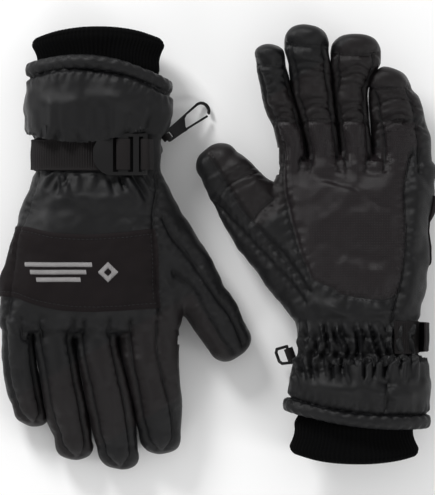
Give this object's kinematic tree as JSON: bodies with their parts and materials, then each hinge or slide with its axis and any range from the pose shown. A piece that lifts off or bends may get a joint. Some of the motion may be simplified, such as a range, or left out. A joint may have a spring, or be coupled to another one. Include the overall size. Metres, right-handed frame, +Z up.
{
  "type": "pair of work gloves",
  "caption": "Pair of insulated work gloves, one back up and one palm up, with knit cuffs, wrist straps, ladder-lock buckles, a clip hook and a ring.",
  "frame": {"origin": "middle of the pair's box in plan, at the height of the surface that both gloves lie on", "axes": "+Z up, away from the surface; +Y along the left glove's fingers; +X towards the left glove"},
  "size_m": [0.303, 0.3104, 0.0566],
  "materials": {
    "black_fabric": "matte woven, water-repellent",
    "panel_fabric": "matte, smooth softshell",
    "grip_leather": "dotted grip",
    "knit": "ribbed knit",
    "fleece": "brushed pile",
    "webbing": "ribbed webbing",
    "black_plastic": "moulded, fine grain",
    "elastic": "covered elastic"
  },
  "bodies": {
    "left_hand": {"left_back_panel": "black_fabric", "left_palm_panel": "black_fabric", "left_hand_liner": "fleece", "left_knuckle_band": "panel_fabric", "left_palm_grip": "grip_leather", "left_gauntlet_back": "black_fabric", "left_gauntlet_palm": "black_fabric", "left_hem_binding": "black_fabric", "left_knit_cuff": "knit", "left_wrist_elastic": "elastic", "left_wrist_strap": "webbing", "left_buckle_anchor": "webbing", "left_clip_loop": "webbing"},
    "left_index": {"left_index_shell": "black_fabric", "left_index_liner": "fleece"},
    "left_middle": {"left_middle_shell": "black_fabric", "left_middle_liner": "fleece"},
    "left_ring": {"left_ring_shell": "black_fabric", "left_ring_liner": "fleece"},
    "left_pinky": {"left_pinky_shell": "black_fabric", "left_pinky_liner": "fleece"},
    "left_thumb": {"left_thumb_shell": "panel_fabric", "left_thumb_liner": "fleece"},
    "left_buckle": {"left_buckle": "black_plastic", "left_strap_turn": "webbing"},
    "left_strap_end": {"left_strap_tail": "webbing"},
    "right_hand": {"right_back_panel": "black_fabric", "right_palm_panel": "black_fabric", "right_hand_liner": "fleece", "right_knuckle_band": "panel_fabric", "right_palm_grip": "grip_leather", "right_gauntlet_back": "black_fabric", "right_gauntlet_palm": "black_fabric", "right_hem_binding": "black_fabric", "right_knit_cuff": "knit", "right_wrist_elastic": "elastic", "right_wrist_strap": "webbing", "right_buckle_anchor": "webbing", "right_clip_loop": "webbing"},
    "right_index": {"right_index_shell": "black_fabric", "right_index_liner": "fleece"},
    "right_middle": {"right_middle_shell": "black_fabric", "right_middle_liner": "fleece"},
    "right_ring": {"right_ring_shell": "black_fabric", "right_ring_liner": "fleece"},
    "right_pinky": {"right_pinky_shell": "black_fabric", "right_pinky_liner": "fleece"},
    "right_thumb": {"right_thumb_shell": "panel_fabric", "right_thumb_liner": "fleece"},
    "right_buckle": {"right_buckle": "black_plastic", "right_strap_turn": "webbing"},
    "right_strap_end": {"right_strap_tail": "webbing"},
    "right_clip_hook": {"right_clip_hook": "black_plastic"},
    "right_clip_gate": {"right_clip_gate": "black_plastic"},
    "left_clip_ring": {"left_clip_ring": "black_plastic"}
  },
  "joints": [
    {"name": "right_glove_lift", "type": "slide", "parent": "left_hand", "child": "right_hand", "axis": [0, 0, 1], "range_m": [0, 0.15]},
    {"name": "left_index_flex", "type": "hinge", "parent": "left_hand", "child": "left_index", "pos_m": [0.05438, 0.06033, 0.02485], "axis": [1, 0, 0], "range_deg": [-10, 60], "stiffness_Nm_per_rad": 0.15},
    {"name": "left_middle_flex", "type": "hinge", "parent": "left_hand", "child": "left_middle", "pos_m": [0.07528, 0.06033, 0.02508], "axis": [1, 0, 0], "range_deg": [-10, 60], "stiffness_Nm_per_rad": 0.15},
    {"name": "left_ring_flex", "type": "hinge", "parent": "left_hand", "child": "left_ring", "pos_m": [0.09788, 0.06033, 0.02508], "axis": [1, 0, 0], "range_deg": [-10, 60], "stiffness_Nm_per_rad": 0.15},
    {"name": "left_pinky_flex", "type": "hinge", "parent": "left_hand", "child": "left_pinky", "pos_m": [0.12918, 0.06033, 0.02508], "axis": [1, 0, 0], "range_deg": [-10, 60], "stiffness_Nm_per_rad": 0.15},
    {"name": "left_thumb_flex", "type": "hinge", "parent": "left_hand", "child": "left_thumb", "pos_m": [0.02328, 0.02633, 0.02652], "axis": [0.817, 0.5767, 0], "range_deg": [-10, 60], "stiffness_Nm_per_rad": 0.15},
    {"name": "left_buckle_lift", "type": "hinge", "parent": "left_hand", "child": "left_buckle", "pos_m": [0.06428, -0.06367, 0.00792], "axis": [0, 1, 0], "range_deg": [0, 40], "stiffness_Nm_per_rad": 0.05},
    {"name": "left_strap_pull", "type": "slide", "parent": "left_hand", "child": "left_strap_end", "axis": [1, 0, 0], "range_m": [0, 0.012]},
    {"name": "right_index_flex", "type": "hinge", "parent": "right_hand", "child": "right_index", "pos_m": [-0.04982, -0.05967, 0.01847], "axis": [1, 0, 0], "range_deg": [-10, 60], "stiffness_Nm_per_rad": 0.15},
    {"name": "right_middle_flex", "type": "hinge", "parent": "right_hand", "child": "right_middle", "pos_m": [-0.08662, -0.05967, 0.01847], "axis": [1, 0, 0], "range_deg": [-10, 60], "stiffness_Nm_per_rad": 0.15},
    {"name": "right_ring_flex", "type": "hinge", "parent": "right_hand", "child": "right_ring", "pos_m": [-0.11592, -0.05967, 0.0187], "axis": [1, 0, 0], "range_deg": [-10, 60], "stiffness_Nm_per_rad": 0.15},
    {"name": "right_pinky_flex", "type": "hinge", "parent": "right_hand", "child": "right_pinky", "pos_m": [-0.13992, -0.05967, 0.01887], "axis": [1, 0, 0], "range_deg": [-10, 60], "stiffness_Nm_per_rad": 0.15},
    {"name": "right_thumb_flex", "type": "hinge", "parent": "right_hand", "child": "right_thumb", "pos_m": [-0.00722, -0.04067, 0.01247], "axis": [0.8599, 0.5105, 0], "range_deg": [-10, 60], "stiffness_Nm_per_rad": 0.15},
    {"name": "right_buckle_lift", "type": "hinge", "parent": "right_hand", "child": "right_buckle", "pos_m": [-0.05072, 0.06433, 0.04808], "axis": [0, 1, 0], "range_deg": [0, 40], "stiffness_Nm_per_rad": 0.05},
    {"name": "right_strap_pull", "type": "slide", "parent": "right_hand", "child": "right_strap_end", "axis": [-1, 0, 0], "range_m": [0, 0.012]},
    {"name": "right_clip_swing", "type": "hinge", "parent": "right_hand", "child": "right_clip_hook", "pos_m": [-0.03552, 0.07683, 0.021], "axis": [0.6157, -0.788, 0], "range_deg": [0, 100]},
    {"name": "right_clip_gate", "type": "hinge", "parent": "right_clip_hook", "child": "right_clip_gate", "pos_m": [-0.02159, 0.08277, 0.01338], "axis": [0.3639, 0.2843, 0.887], "range_deg": [0, 14], "stiffness_Nm_per_rad": 0.002},
    {"name": "left_ring_swing", "type": "hinge", "parent": "left_hand", "child": "left_clip_ring", "pos_m": [0.05028, -0.07567, 0.021], "axis": [-0.342, 0.9397, 0], "range_deg": [0, 110]}
  ]
}
